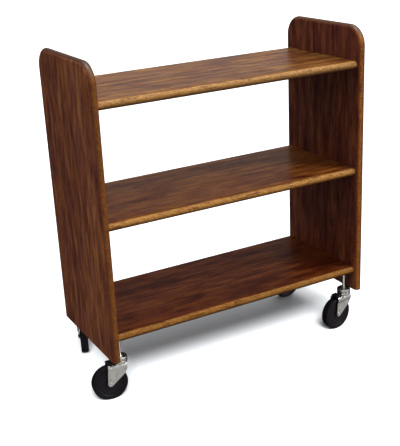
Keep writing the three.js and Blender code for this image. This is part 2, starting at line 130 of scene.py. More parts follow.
# Turned outlines of the caster's pieces, as (radius, place along the axis)
STEM_OUTLINE = [
    (0, 108.0), (7.4, 108.0), (8.4, 109.0), (8.4, 112.0), (4.8, 112.0), (4.8, 137.6),
    (8.4, 137.6), (8.4, 140.2), (5.56, 142.2), (5.56, 213.0), (4.56, 214.0), (0, 214.0),
]
RACEWAY_OUTLINE = [
    (5.2, 127.3), (11.9, 127.3), (13.5, 129.6), (17.5, 129.6), (19.1, 127.3),
    (22.6, 127.3), (22.6, 131.7), (21.73, 136.43), (20.0, 137.3), (5.2, 137.3),
]
CUP_OUTLINE = [
    (5.3, 115), (19.5, 115), (19.5, 116), (22.6, 119), (22.6, 126),
    (19.1, 126), (17.5, 123.2), (13.5, 123.2), (11.9, 126), (5.3, 126),
]
LUG_OUTLINE = [(0, 14.0), (3.3, 14.0), (3.3, 19.8), (0, 19.8)]
BOLT_OUTLINE = [
    (0, -25.4), (3.4, -25.4), (4, -24.8), (4, 17.1),
    (5.2, 17.1), (5.2, 18.6), (4.2, 19.3), (0, 19.3),
]

# Halves of outlines that are the same on both sides of the wheel's middle plane
PIN_HALF = [(0, 21.4), (2.2, 21.4), (3.0, 21.0), (3.2, 20.1), (1.8, 20.1)]
CORE_HALF = [
    (7.0, 13.5), (12.5, 13.5), (12.5, 9.3), (17, 9.3), (17.6, 10.0), (19, 10.0), (19.6, 9.3),
    (30, 9.3), (30.6, 10.0), (32, 10.0), (32.6, 9.3), (39.5, 9.3), (41.2, 11.7), (45.0, 11.7),
]

# Brake pedal's outline about its pin, before the ribs on its top
PEDAL_HALF_WIDTH = 13.2
PEDAL_HUB = 3.6
PEDAL_FRONT = (1.1, 8.8)
PEDAL_REAR = (21.0, 7.6)
PEDAL_UNDERSIDE = [(5.0, -0.3), (14.0, -0.3), (19.6, 3.0), (20.7, 3.7), (21.0, 4.7)]
PEDAL_RIBS = 4
PEDAL_RIB_INSET = 2.6
PEDAL_RIB_PITCH = 3.6
PEDAL_RIB_WIDTH = 1.8
PEDAL_RIB_RISE = 0.8
PEDAL_RIB_SLOPE = 0.3

# Axle nut: radius over its corners, both ends, chamfer as a share of the radius, and radius of the bore
NUT_RADIUS = 7.2
NUT_ENDS = (-23.1, -17.1)
NUT_CHAMFER = 0.13
NUT_BORE = 4.3
NUT_BORE_SIDES = 24

# Oak: width of a stave and of a growth ring in metres, and the colour of end grain
STAVE = 0.082
RING = 0.0062
END_GRAIN = (0.052, 0.024, 0.014)
# Noises drawn out along the grain: rate along it, rate across it, shift of the seed, detail and roughness
WANDER = (1.6, 7, 0, 2, 0.5)
STREAKS = (11, 75, 0, 6, 0.68)
BANDS = (4.5, 30, 3, 3, 0.5)
PATCHES = (7, 48, 7, 3, 0.55)
TICKS = (20, 120, 11, 4, 0.65)
FIBRES = (26, 900, 5, 3, 0.6)
DASHES = (55, 1500, 9, 2, 0.5)

# Stains, and painted shade on one side of the rounded edges. rim, bare and shade are the parts of the normal
# across the board between which the edge's colour, its worn dabs and its painted shade come in
PANEL_TONES = {
    "dark": (0.085, 0.022, 0.009),
    "middle": (0.190, 0.054, 0.017),
    "light": (0.290, 0.112, 0.032),
    "cast": (0.68, 0.62, 1.10),
    "edge": (0.130, 0.030, 0.003),
    "worn": (0.250, 0.085, 0.006),
    "rim": (0.60, 0.9995),
    "bare": (0.40, 0.95),
    "streak": 1.90,
    "band": 0.80,
    "ring": 0.05,
    "tick": 0.30,
    "gloss": 0.18,
}
SHELF_TONES = {
    "dark": (0.078, 0.020, 0.003),
    "middle": (0.168, 0.053, 0.007),
    "light": (0.260, 0.108, 0.018),
    "cast": (0.74, 0.62, 1.1),
    "edge": (0.240, 0.100, 0.014),
    "worn": (0.440, 0.230, 0.055),
    "rim": (0.86, 0.990),
    "bare": (0.88, 0.995),
    # painted shade under the rounded edges
    "shade": (-0.75, 0.20, 0.9, 0.0),
    "streak": 2.40,
    "band": 1.40,
    "ring": 0.10,
    "tick": 0.30,
}
# Each board's tint of the faces and tint of the edges, left to right and bottom to top. The tints paint light
# and shade onto the wood
# Painted light and shade: the left panel's face lighter and its edges darker, the right panel's shaded inner
# face darker and its lit edges lighter
PANEL_LIGHT_SHADE_TINTS = (
    ((1.24, 1.30, 1.36), (0.70, 0.74, 0.64)),
    ((0.74, 0.65, 0.80), (1.55, 1.62, 1.35)),
)
# Painted shade: the lower shelves and their noses darker under the shelves above, the bottom shelf most
SHELF_LIGHT_SHADE_TINTS = (
    ((0.50, 0.33, 0.36), (0.66, 0.58, 0.50)),
    ((0.87, 0.76, 0.60), (0.93, 0.88, 0.80)),
    ((0.85, 0.91, 0.73), (0.88, 0.86, 0.86)),
)
# Painted shade on each panel's rounded edges, darker towards its outer face
PANEL_SHADE = ((-0.60, -0.15, 0.85, 0.0), (-0.60, 0.45, 0.0, 0.80))
SHELF_GLOSS = (0.08, 0.17, 0.27)

# Camera: angles in radians, and the focal length in pixels of a picture PICTURE_PIXELS high
AZIMUTH = 0.49453
ELEVATION = 0.35587
ROLL = -0.04902
DISTANCE = 2.79446
AIM_ASIDE = -0.04435
AIM_RISE = 0.29014
FOCAL_PIXELS = 875.02
PICTURE_PIXELS = 446
SENSOR_WIDTH = 36
FARTHEST = 60

# Room, floor and lamps
ACROSS_VIEW = (0.899, -0.438, 0.0)
FLOOR_HALF = 30
UPPER_BOARDS = ("left_end_panel", "right_end_panel", "middle_shelf", "top_shelf")


# Node helpers


class Graph:
    """A node tree, with short calls for the nodes used here."""

    def __init__(self, tree):
        self.tree = tree

    def put(self, value, target):
        """Links a socket to the target, or sets the target to a plain value."""
        if isinstance(value, bpy.types.NodeSocket):
            self.tree.links.new(value, target)
        else:
            target.default_value = value

    def node(self, kind, inputs, **settings):
        """A new node with its settings made and its inputs filled, by name or by place."""
        made = self.tree.nodes.new(kind)
        for name, value in settings.items():
            setattr(made, name, value)
        for key, value in inputs.items():
            self.put(value, made.inputs[key])
        return made

    def math(self, operation, *values):
        return self.node("ShaderNodeMath", dict(enumerate(values)), operation=operation).outputs[0]

    def plus(self, total, *others):
        for other in others:
            total = self.math("ADD", total, other)
        return total

    def minus(self, a, b):
        return self.math("SUBTRACT", a, b)

    def times(self, a, b):
        return self.math("MULTIPLY", a, b)

    def spread(self, value, amount):
        """How far the value lies from a half, times an amount."""
        return self.times(self.minus(value, 0.5), amount)

    def combine(self, x, y, z):
        return self.node("ShaderNodeCombineXYZ", {0: x, 1: y, 2: z}).outputs[0]

    def separate(self, vector):
        return self.node("ShaderNodeSeparateXYZ", {0: vector}).outputs

    def place(self, output="Object"):
        return self.node("ShaderNodeTexCoord", {}).outputs[output]

    def noise(self, vector, scale, detail, roughness):
        inputs = {"Vector": vector, "Scale": scale, "Detail": detail, "Roughness": roughness}
        return self.node("ShaderNodeTexNoise", inputs).outputs["Fac"]

    def random(self, value):
        """Three random numbers that belong to a value."""
        node = self.node("ShaderNodeTexWhiteNoise", {"W": value}, noise_dimensions="1D")
        return self.separate(node.outputs["Color"])

    def ramp(self, value, stops):
        node = self.node("ShaderNodeValToRGB", {"Fac": value})
        elements = node.color_ramp.elements
        while len(elements) < len(stops):
            elements.new(0.5)
        for element, (position, colour) in zip(elements, stops):
            element.position = position
            element.color = (*colour, 1.0)
        return node.outputs["Color"]

    def step(self, value, low, high, out_low=0.0, out_high=1.0):
        """Goes smoothly from out_low to out_high while the value goes from low to high."""
        inputs = {"Value": value, "From Min": low, "From Max": high, "To Min": out_low, "To Max": out_high}
        return self.node("ShaderNodeMapRange", inputs, interpolation_type="SMOOTHSTEP").outputs["Result"]

    def between(self, share, a, b):
        """A number between a and b."""
        return self.node("ShaderNodeMix", {"Factor": share, "A": a, "B": b}).outputs[0]

    def mix(self, share, a, b, blend="MIX"):
        """A colour between a and b."""
        a, b = ((*colour, 1.0) if isinstance(colour, tuple) else colour for colour in (a, b))
        inputs = {"Factor": share, "A": a, "B": b}
        return self.node("ShaderNodeMix", inputs, data_type="RGBA", blend_type=blend).outputs["Result"]

    def moved(self, vector, own, seed):
        """The vector moved by a seed and by a stave's own number."""
        shift = self.combine(self.times(own, 37.0), seed * 1.31, seed * 2.17)
        return self.node("ShaderNodeVectorMath", {0: vector, 1: shift}, operation="ADD").outputs[0]

    def bump(self, height, distance, strength):
        inputs = {"Height": height, "Distance": distance, "Strength": strength}
        return self.node("ShaderNodeBump", inputs).outputs["Normal"]


class Coat(Graph):
    """The node tree of a new material."""

    def __init__(self, name):
        self.material = bpy.data.materials.new(name)
        self.material.use_nodes = True
        super().__init__(self.material.node_tree)
        self.shader = self.tree.nodes["Principled BSDF"]

    def finish(self, colour, roughness, **others):
        """Fills the shader's sockets. The others are named with _ for each space."""
        self.put(colour, self.shader.inputs["Base Color"])
        self.put(roughness, self.shader.inputs["Roughness"])
        for name, value in others.items():
            self.put(value, self.shader.inputs[name.replace("_", " ")])
        return self.material


# Materials


def oak(name, axes, centre, seed, tones):
    """Stained, lacquered oak. axes are the board's grain, width and thickness axes."""
    coat = Coat(name)
    place = coat.separate(coat.place())
    grain, width, depth = (coat.minus(place[axis], centre[axis]) for axis in axes)

    # Staves glued edge to edge, each with its own place in the log
    across = coat.plus(coat.math("DIVIDE", width, STAVE), 40.37 + seed * 1.7)
    index = coat.math("FLOOR", across)
    own = coat.random(coat.plus(index, seed * 3.1))
    tone = coat.random(coat.plus(index, seed * 7.7 + 50))[0]
    inside = coat.spread(coat.minus(across, index), STAVE)

    def drawn(along, over, shift, detail, roughness):
        """A noise drawn out along the grain."""
        vector = coat.combine(coat.times(grain, along), coat.times(width, over), coat.times(depth, over))
        return coat.noise(coat.moved(vector, own[0], seed + shift), 1.0, detail, roughness)

    # Growth rings round a pith below the board, leaning along the grain
    wander = coat.minus(drawn(*WANDER), 0.5)
    pith = coat.plus(coat.times(own[1], 0.07), 0.02)
    lean = coat.times(grain, coat.spread(own[2], 0.09))
    down = coat.plus(depth, pith, lean, coat.times(wander, 0.05))
    aside = coat.plus(inside, coat.spread(own[0], 0.07), coat.times(wander, 0.02))
    radius = coat.math("SQRT", coat.plus(coat.times(down, down), coat.times(aside, aside)))
    ring = coat.math("FRACT", coat.math("DIVIDE", radius, RING))
    early = coat.step(ring, 0.0, 0.45, 1.0, 0.0)
    late = coat.step(ring, 0.55, 1.0)

    # Stain, taken up unevenly
    ticks = drawn(*TICKS)
    fibres = drawn(*FIBRES)
    body = coat.plus(
        coat.spread(drawn(*STREAKS), tones["streak"]),
        coat.spread(drawn(*BANDS), tones["band"]),
        coat.times(late, tones["ring"]),
        coat.times(early, -tones["ring"]),
        coat.spread(fibres, 0.45),
        coat.spread(tone, 0.16),
        0.5,
        coat.times(coat.step(ticks, 0.58, 0.72), -tones["tick"]),
    )
    colour = coat.ramp(body, [(0.15, tones["dark"]), (0.5, tones["middle"]), (0.85, tones["light"])])
    colour = coat.mix(coat.step(drawn(*PATCHES), 0.40, 0.60), colour, tones["cast"], "MULTIPLY")

    # Rounded edges have a colour of their own, with worn dabs and dark ticks, and painted shade on one side
    normal = coat.separate(coat.place("Normal"))
    facing = coat.math("ABSOLUTE", normal[axes[2]])
    edge = coat.step(facing, *tones["rim"], 1.0, 0.0)
    slant = coat.plus(grain, coat.times(coat.plus(width, depth), 1.2))
    dabs = coat.combine(coat.times(slant, 250), coat.times(width, 170), coat.times(depth, 170))
    dabs = coat.noise(coat.moved(dabs, own[0], seed + 12), 1.0, 3, 0.6)
    worn = coat.times(coat.step(dabs, 0.38, 0.62), coat.step(facing, *tones["bare"], 1.0, 0.0))
    rim = coat.mix(worn, tones["edge"], tones["worn"])
    rim = coat.mix(coat.step(ticks, 0.52, 0.66, 0.0, 0.7), rim, tones["dark"])
    # Painted shade: the edge darker towards each panel's outer face and under the shelves' rounded edges
    rim = coat.mix(coat.step(normal[axes[2]], *tones["shade"]), rim, tones["dark"])
    colour = coat.mix(coat.times(edge, 0.92), colour, rim)

    # End grain drinks more stain, and the open pores are dark
    end = coat.step(coat.math("ABSOLUTE", normal[axes[0]]), 0.35, 0.85, 0.0, 0.85)
    pores = coat.times(coat.step(drawn(*DASHES), 0.56, 0.68), coat.plus(coat.times(early, 0.75), 0.25))
    colour = coat.mix(end, colour, END_GRAIN)
    colour = coat.mix(coat.times(pores, 0.72), colour, tuple(0.35 * c for c in tones["dark"]))

    # Lacquer, a little smeared, duller in the pores and where the edges are rubbed
    smear = coat.noise(coat.place(), 9.0, 3, 0.5)
    rubbed = coat.times(edge, coat.minus(1.0, end))
    roughness = coat.plus(coat.times(smear, 0.16), 0.24, coat.times(pores, 0.25))
    roughness = coat.plus(roughness, coat.times(fibres, 0.08), coat.times(rubbed, 0.16))
    height = coat.plus(coat.minus(coat.times(fibres, 0.25), pores), coat.times(early, -0.25))
    skin = coat.bump(height, 0.00025, 0.5)
    gloss = coat.plus(coat.times(end, 0.4), tones["gloss"])
    return coat.finish(colour, roughness, Normal=skin, Specular_IOR_Level=gloss)


def metal(name, colour, rough, grain, stain):
    """Plated steel or brass with a fine rolled grain, dull clouds and small specks."""
    coat = Coat(name)
    place = coat.place()
    x, y, z = coat.separate(place)
    lines = coat.combine(coat.times(x, 900), coat.times(y, 900), coat.times(z, 40))
    rolled = coat.noise(lines, 1.0, 3, 0.6)
    clouds = coat.noise(place, 55.0, 4, 0.6)
    specks = coat.step(coat.noise(place, 900.0, 2, 0.6), 0.62, 0.74)
    roughness = coat.plus(coat.times(rolled, grain), coat.times(clouds, stain), rough)
    roughness = coat.plus(roughness, coat.times(specks, 0.12))
    tint = coat.mix(coat.step(clouds, 0.35, 0.75), colour, tuple(0.72 * c for c in colour))
    tint = coat.mix(coat.times(specks, 0.4), tint, tuple(0.5 * c for c in colour))
    skin = coat.bump(rolled, 0.00004, 0.4)
    return coat.finish(tint, roughness, Normal=skin, Metallic=1.0)


def black(name, colour, dust, rough, fine):
    """Black rubber or plastic with a moulded skin and some dust."""
    coat = Coat(name)
    place = coat.place()
    patches = coat.noise(place, 60.0, 4, 0.6)
    tint = coat.mix(coat.times(coat.step(patches, 0.38, 0.78), 0.6), colour, dust)
    roughness = coat.plus(coat.times(patches, 0.22), rough)
    skin = coat.bump(coat.noise(place, fine, 3, 0.6), 0.00006, 0.5)
    return coat.finish(tint, roughness, Normal=skin, Specular_IOR_Level=0.2)


def pale_floor():
    coat = Coat("floor")
    clouds = coat.noise(coat.place(), 2.0, 3, 0.5)
    tint = coat.mix(clouds, (0.34, 0.35, 0.36), (0.36, 0.37, 0.38))
    roughness = coat.plus(coat.times(clouds, 0.1), 0.6)
    return coat.finish(tint, roughness, Specular_IOR_Level=0.0)


# Shape helpers. A part is a list of points and a list of faces


WELD = 1e-4
SHARP_ANGLE = math.radians(35)
AXLE_WAY = Matrix.Rotation(math.radians(-90), 4, "X")


def to_mesh(name, verts, faces):
    """A mesh with doubled points welded and its faces turned outward."""
    mesh = bpy.data.meshes.new(name)
    mesh.from_pydata([tuple(v) for v in verts], [], faces)
    mesh.validate()
    bm = bmesh.new()
    bm.from_mesh(mesh)
    bmesh.ops.remove_doubles(bm, verts=bm.verts, dist=WELD)
    bmesh.ops.recalc_face_normals(bm, faces=bm.faces)
    bm.to_mesh(mesh)
    bm.free()
    return mesh


def joined(name, *parts):
    """One mesh from several parts."""
    verts, faces = [], []
    for part_verts, part_faces in parts:
        faces += [tuple(i + len(verts) for i in face) for face in part_faces]
        verts += list(part_verts)
    return to_mesh(name, verts, faces)


def turned(part, matrix):
    verts, faces = part
    return [tuple(matrix @ Vector(v)) for v in verts], faces


def lathe(profile, sides, closed=False):
    """Turns (radius, height) points round Z."""
    verts, faces = [], []
    count = len(profile)
    for side in range(sides):
        angle = 2 * math.pi * side / sides
        verts += [(r * math.cos(angle), r * math.sin(angle), z) for r, z in profile]
    for side in range(sides):
        here, there = side * count, (side + 1) % sides * count
        for k in range(count if closed else count - 1):
            n = (k + 1) % count
            faces.append((here + k, there + k, there + n, here + n))
    return verts, faces


def across_wheel(profile, sides, closed=False):
    """Turns (radius, place) points round Y, the way of the axle."""
    return turned(lathe(profile, sides, closed), AXLE_WAY)


def mirrored(half):
    """A whole outline from the half with positive places."""
    return [(r, -z) for r, z in half] + [(r, z) for r, z in reversed(half)]


def rounded(profile, cut, closed=False, steps=3):
    """Rounds the corners of a profile; cut is the longest length taken from each side."""
    points = [Vector(p) for p in profile]
    result = []
    count = len(points)
    for k, point in enumerate(points):
        if not closed and k in (0, count - 1):
            result.append(tuple(point))
            continue
        before, after = points[k - 1], points[(k + 1) % count]
        size = min(cut, 0.45 * (before - point).length, 0.45 * (after - point).length)
        start = point + (before - point).normalized() * size
        end = point + (after - point).normalized() * size
        for step in range(steps + 1):
            t = step / steps
            result.append(tuple((1 - t) ** 2 * start + 2 * t * (1 - t) * point + t * t * end))
    return result


def arc(centre, radius, start, end, steps):
    """Points on an arc, angles in degrees."""
    points = []
    for k in range(steps + 1):
        angle = math.radians(start + (end - start) * k / steps)
        points.append((centre[0] + radius * math.cos(angle), centre[1] + radius * math.sin(angle)))
    return points


def ring(radius, height, count):
    """Points evenly spaced round Z."""
    angles = [math.radians(360 * k / count) for k in range(count)]
    return [(radius * math.cos(angle), radius * math.sin(angle), height) for angle in angles]


def solid_between(low, high):
    """A solid between two equal outlines."""
    count = len(low)
    faces = [tuple(range(count)), tuple(range(2 * count - 1, count - 1, -1))]
    faces += [(k, (k + 1) % count, count + (k + 1) % count, count + k) for k in range(count)]
    return low + high, faces


def new_object(name, data):
    thing = bpy.data.objects.new(name, data)
    bpy.context.scene.collection.objects.link(thing)
    return thing


def place_mesh(name, mesh, matrix, body, nodes, material, bevel=0.0):
    """Makes mesh, drawn in millimetres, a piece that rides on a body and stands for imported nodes."""
    mesh = mesh.copy()
    mesh.name = name
    mesh.transform(matrix @ Matrix.Scale(MM, 4))
    for polygon in mesh.polygons:
        polygon.use_smooth = True
    if not bevel:
        mesh.set_sharp_from_angle(angle=SHARP_ANGLE)
    mesh.materials.append(material)
    piece = new_object(name, mesh)
    if bevel:
        rounding = piece.modifiers.new("rounding", "BEVEL")
        rounding.width = bevel * MM
        rounding.segments = 3
        rounding.limit_method = "ANGLE"
        rounding.angle_limit = SHARP_ANGLE
        shade = piece.modifiers.new("shade", "WEIGHTED_NORMAL")
        shade.weight = 60
    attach(piece, body)
    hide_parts(*nodes)


# Board shapes


def panel_part(side):
    """An end panel: a half-round swept up the front edge, over the top and down the rear."""
    nose = (BOARD - EDGE_LAND) / 2
    half = PANEL_DEPTH / 2
    inner = PANEL_CORNER - nose
    path = [((nose - half, PANEL_FOOT), (-1.0, 0.0))]
    for sign, start in ((-1, 180), (1, 90)):
        y, z = sign * (half - PANEL_CORNER), PANEL_TOP - PANEL_CORNER
        outward = arc((0, 0), 1, start, start - 90, PANEL_CORNER_STEPS)
        path += [((y + inner * way[0], z + inner * way[1]), way) for way in outward]
    path.append(((half - nose, PANEL_FOOT), (1.0, 0.0)))
    angles = [-90 + 180 * k / PANEL_EDGE_STEPS for k in range(PANEL_EDGE_STEPS + 1)]
    verts, faces = [], []
    for (y, z), (out_y, out_z) in path:
        for angle in angles:
            reach = nose * math.cos(math.radians(angle))
            x = math.copysign(EDGE_LAND / 2, angle) + nose * math.sin(math.radians(angle))
            verts.append((side * (CART_WIDTH - BOARD) / 2 + x, y + out_y * reach, z + out_z * reach))
    count = len(angles)
    for i in range(len(path) - 1):
        for j in range(count - 1):
            a = i * count + j
            faces.append((a, a + 1, a + count + 1, a + count))
    last = (len(path) - 1) * count
    faces.append(tuple(i * count for i in range(len(path))))
    faces.append(tuple(i * count + count - 1 for i in reversed(range(len(path)))))
    faces.append(tuple(range(count)) + tuple(last + j for j in reversed(range(count))))
    return verts, faces


def shelf_part(top):
    """A shelf with full round front and rear edges."""
    radius = BOARD / 2
    middle = top - radius
    reach = SHELF_DEPTH / 2 - radius
    section = arc((reach, middle), radius, -90, 90, SHELF_EDGE_STEPS)
    section += arc((-reach, middle), radius, 90, 270, SHELF_EDGE_STEPS)
    length = CART_WIDTH / 2 - BOARD - SEAT_GAP
    return solid_between([(-length, y, z) for y, z in section], [(length, y, z) for y, z in section])


# Caster shapes


def leg_edges(z):
    """Front and rear edge of a fork leg at a height."""
    bow = math.sqrt(max(0.0, LEG_END**2 - (z - AXLE_HEIGHT) ** 2))
    if z >= KNEE_HEIGHT:
        drop = (LEG_TOP - min(z, LEG_TOP)) / (LEG_TOP - KNEE_HEIGHT)
        front = -LEG_REACH + (LEG_REACH - KNEE_REACH) * drop**2
    elif z > FRONT_END:
        front = -KNEE_REACH + (KNEE_HEIGHT - z) / FRONT_SLOPE
    else:
        front = TRAIL - bow
    if z < AXLE_HEIGHT:
        rear = TRAIL + bow
    elif z < REAR_TOP:
        rear = TRAIL + LEG_END - REAR_LEAN * (z - AXLE_HEIGHT) / (REAR_TOP - AXLE_HEIGHT)
    else:
        rear = TRAIL + LEG_END - REAR_LEAN - REAR_CORNER
        rear += math.sqrt(max(0.0, REAR_CORNER**2 - (z - REAR_TOP) ** 2))
    return front, rear


def fork_section():
    """Middle line of the pressed plate across the fork, as (half width, height) from foot to crown."""
    points = []
    for k in range(FOOT_STEPS + 1):
        points.append((LEG_HALF, AXLE_HEIGHT - LEG_END * math.cos(math.radians(90 * k / FOOT_STEPS))))
    for k in range(1, LEG_STEPS + 1):
        points.append((LEG_HALF, AXLE_HEIGHT + (NECK_FOOT - AXLE_HEIGHT) * k / LEG_STEPS))
    for k in range(1, NECK_STEPS + 1):
        share = k / NECK_STEPS
        ease = share * share * (3 - 2 * share)
        points.append((LEG_HALF + (CROWN_HALF - LEG_HALF) * ease, NECK_FOOT + (NECK_TOP - NECK_FOOT) * share))
    for angle in BEND_ANGLES:
        across = CROWN_HALF - BEND_REACH + BEND_REACH * math.cos(math.radians(angle))
        points.append((across, NECK_TOP + BEND_RISE * math.sin(math.radians(angle))))
    points += [(half, CROWN_MIDDLE) for half in CROWN_HALVES]
    return points


def fork_sheet():
    """The plate's middle surface, trimmed to the legs' outline, with the slot left out."""
    side = fork_section()
    section = [(-u, z) for u, z in side] + [(0.0, CROWN_MIDDLE)] + [(u, z) for u, z in reversed(side)]
    ahead, behind = 12, 8
    verts, faces = [], []
    for u, z in section:
        front, rear = leg_edges(z)
        middle = front + SLOT_START * (rear - front)
        verts += [(front + (middle - front) * j / ahead, u, z) for j in range(ahead)]
        verts += [(middle + (rear - middle) * j / behind, u, z) for j in range(behind + 1)]
    count = ahead + behind + 1
    for i in range(len(section) - 1):
        slotted = max(abs(section[i][0]), abs(section[i + 1][0])) < SLOT_HALF
        for j in range(ahead if slotted else ahead + behind):
            a = i * count + j
            faces.append((a, a + 1, a + count + 1, a + count))
    return to_mesh("plate", verts, faces)


def fork_plate():
    """The pressed plate as a part: made thick, its edges eased and its legs pierced."""
    thing = new_object("plate", fork_sheet())
    thick = thing.modifiers.new("thick", "SOLIDIFY")
    thick.thickness = SHEET
    thick.offset = 0
    thick.use_even_offset = True
    edge = thing.modifiers.new("edge", "BEVEL")
    edge.width = 0.5
    edge.segments = 2
    edge.limit_method = "ANGLE"
    edge.angle_limit = math.radians(50)
    past_legs = 30
    hole = mirrored([(0, past_legs), (HOLE_RADIUS, past_legs)])
    hole = across_wheel(hole, sides=24)
    hole = turned(hole, Matrix.Translation((TRAIL, 0, AXLE_HEIGHT + HOLE_RISE)))
    cutter = new_object("cutter", joined("cutter", hole))
    cut = thing.modifiers.new("cut", "BOOLEAN")
    cut.operation = "DIFFERENCE"
    cut.solver = "EXACT"
    cut.object = cutter
    shaped = bpy.data.meshes.new_from_object(thing.evaluated_get(bpy.context.evaluated_depsgraph_get()))
    for old in (thing, cutter):
        bpy.data.objects.remove(old)
    return [tuple(v.co) for v in shaped.vertices], [tuple(p.vertices) for p in shaped.polygons]


def fork_mesh():
    """The pressed fork: its plate, the ball cup on the crown and a lug on each side for the pedal's pin."""
    cup = lathe(rounded(CUP_OUTLINE, cut=0.8, closed=True), sides=72, closed=True)
    parts = [fork_plate(), cup]
    lug = across_wheel(rounded(LUG_OUTLINE, cut=0.6), sides=36)
    for sign in (-1, 1):
        moved = Matrix.Translation((PIVOT_REACH, 0, PIVOT_HEIGHT)) @ Matrix.Diagonal((1, sign, 1, 1))
        parts.append(turned(lug, moved))
    return joined("fork", *parts)


def tyre_outline():
    """Half of a solid tyre's outline, with fine rings moulded into the side wall."""
    wall = [(TYRE_INNER, WHEEL_HALF - 0.5), (TYRE_INNER + 0.5, WHEEL_HALF)]
    for k in range(TYRE_RINGS):
        start = TYRE_INNER + 1.6 + TYRE_RING_PITCH * k
        floor = WHEEL_HALF - TYRE_RING_DEPTH
        wall += [(start, WHEEL_HALF), (start + 0.25, floor), (start + 0.75, floor), (start + 1.0, WHEEL_HALF)]
    return wall + arc((WHEEL_RADIUS - TYRE_SHOULDER, WHEEL_HALF - TYRE_SHOULDER), TYRE_SHOULDER, 90, 0, 8)


def pedal_outline():
    """Side outline of the brake pedal about its pin, as (x, z)."""
    (front_x, front_z), (rear_x, rear_z) = PEDAL_FRONT, PEDAL_REAR

    def top(x):
        return front_z + (rear_z - front_z) * (x - front_x) / (rear_x - front_x)

    outline = [PEDAL_FRONT, (-PEDAL_HUB, 0.0)]
    outline += arc((0, 0), PEDAL_HUB, 190, 315, 8)
    outline += PEDAL_UNDERSIDE
    outline += [(rear_x, 6.2), (rear_x - 0.4, 7.2), (rear_x - 1.4, top(rear_x - 1.4))]
    for rib in range(PEDAL_RIBS):
        end = rear_x - PEDAL_RIB_INSET - PEDAL_RIB_PITCH * rib
        start = end - PEDAL_RIB_WIDTH
        outline += [(end, top(end)), (end - PEDAL_RIB_SLOPE, top(end) + PEDAL_RIB_RISE)]
        outline += [(start + PEDAL_RIB_SLOPE, top(start) + PEDAL_RIB_RISE), (start, top(start))]
    return outline


def pedal_part():
    left, right = ([(x, y, z) for x, z in pedal_outline()] for y in (-PEDAL_HALF_WIDTH, PEDAL_HALF_WIDTH))
    return solid_between(left, right)


def nut_part():
    """A chamfered hex nut about Z: four rings of six corners outside, and a ring at each end of the bore."""
    low, high = NUT_ENDS
    chamfer = NUT_CHAMFER * NUT_RADIUS
    verts = ring(NUT_RADIUS - chamfer, low, 6)
    verts += ring(NUT_RADIUS, low + 0.5 * chamfer, 6)
    verts += ring(NUT_RADIUS, high - 0.5 * chamfer, 6)
    verts += ring(NUT_RADIUS - chamfer, high, 6)
    faces = []
    for lower in (0, 6, 12):
        for k in range(6):
            n = (k + 1) % 6
            faces.append((lower + k, lower + n, lower + 6 + n, lower + 6 + k))
    low_bore = len(verts)
    high_bore = low_bore + NUT_BORE_SIDES
    share = NUT_BORE_SIDES // 6
    for z, corner, bore in ((low, 0, low_bore), (high, 18, high_bore)):
        verts += ring(NUT_BORE, z, NUT_BORE_SIDES)
        for k in range(6):
            near = [bore + (share * k + j) % NUT_BORE_SIDES for j in range(share + 1)]
            faces.append((corner + k, corner + (k + 1) % 6, *reversed(near)))
    for k in range(NUT_BORE_SIDES):
        n = (k + 1) % NUT_BORE_SIDES
        faces.append((low_bore + k, high_bore + k, high_bore + n, low_bore + n))
    return verts, faces


def caster_matrix(corner):
    """Places a caster's drawing on its stem, with its wheel trailing as in the frame."""
    spin = JOINTS[f"{corner}_wheel_spin"]
    stem = JOINTS[f"{corner}_swivel_turn"]["pos_m"]
    across = Vector(spin["axis"])
    trail = Vector((across.y, -across.x, 0))
    floor = spin["pos_m"][2] - AXLE_HEIGHT * MM
    turn = Matrix((trail, across, Vector((0, 0, 1)))).transposed().to_4x4()
    return Matrix.Translation((stem[0], stem[1], floor)) @ turn


# Building

ZINC = metal("zinc", (0.68, 0.67, 0.63), rough=0.12, grain=0.16, stain=0.14)
CHROME = metal("chrome", (0.88, 0.88, 0.88), rough=0.06, grain=0.08, stain=0.08)
BRASS = metal("brass", (0.62, 0.45, 0.20), rough=0.22, grain=0.12, stain=0.16)
RUBBER = black("rubber", (0.005, 0.003, 0.005), (0.009, 0.006, 0.009), rough=0.50, fine=1500.0)
CORE = black("core", (0.005, 0.003, 0.005), (0.010, 0.007, 0.010), rough=0.42, fine=900.0)
PEDAL = black("pedal", (0.006, 0.006, 0.007), (0.012, 0.012, 0.013), rough=0.36, fine=1200.0)

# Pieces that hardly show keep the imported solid
HIDDEN_PIECES = {"ball_cage": CHROME, "brake_spring": ZINC, "axle_sleeve": ZINC, "stem_insert": BRASS}

# Where the middle of the boards and the floor lie in the frame
cart_low, cart_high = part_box("left_end_panel")[0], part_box("right_end_panel")[1]
SHIFT = Vector((
    (cart_low.x + cart_high.x) / 2,
    (cart_low.y + cart_high.y) / 2,
    cart_low.z - PANEL_FOOT * MM,
))
CART = Matrix.Translation(SHIFT)


def tinted(tones, light_shade_tints, **others):
    """The same tones with the colours of the faces and of the edges multiplied by tints that paint light and
    shade.
    """
    result = {**tones, **others}
    for names, tint in zip((("dark", "middle", "light"), ("edge", "worn")), light_shade_tints):
        for name in names:
            result[name] = tuple(a * b for a, b in zip(tones[name], tint))
    return result


def centre_of(node):
    low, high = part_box(node)
    return (low + high) / 2


def build_boards():
    for index, (node, side) in enumerate((("left_end_panel", -1), ("right_end_panel", 1))):
        tones = tinted(PANEL_TONES, PANEL_LIGHT_SHADE_TINTS[index], shade=PANEL_SHADE[index])
        wood = oak(node, (2, 1, 0), centre_of(node), 1.0 + 2 * index, tones)
        mesh = joined(node, panel_part(side))
        place_mesh(f"{node}_look", mesh, CART, "cart", [node], wood, bevel=0.8)
    for index, (node, top) in enumerate(SHELF_TOPS.items()):
        tones = tinted(SHELF_TONES, SHELF_LIGHT_SHADE_TINTS[index], gloss=SHELF_GLOSS[index])
        wood = oak(node, (0, 1, 2), centre_of(node), 5.0 + 2 * index, tones)
        mesh = joined(node, shelf_part(top))
        place_mesh(f"{node}_look", mesh, CART, "cart", [node], wood, bevel=0.4)


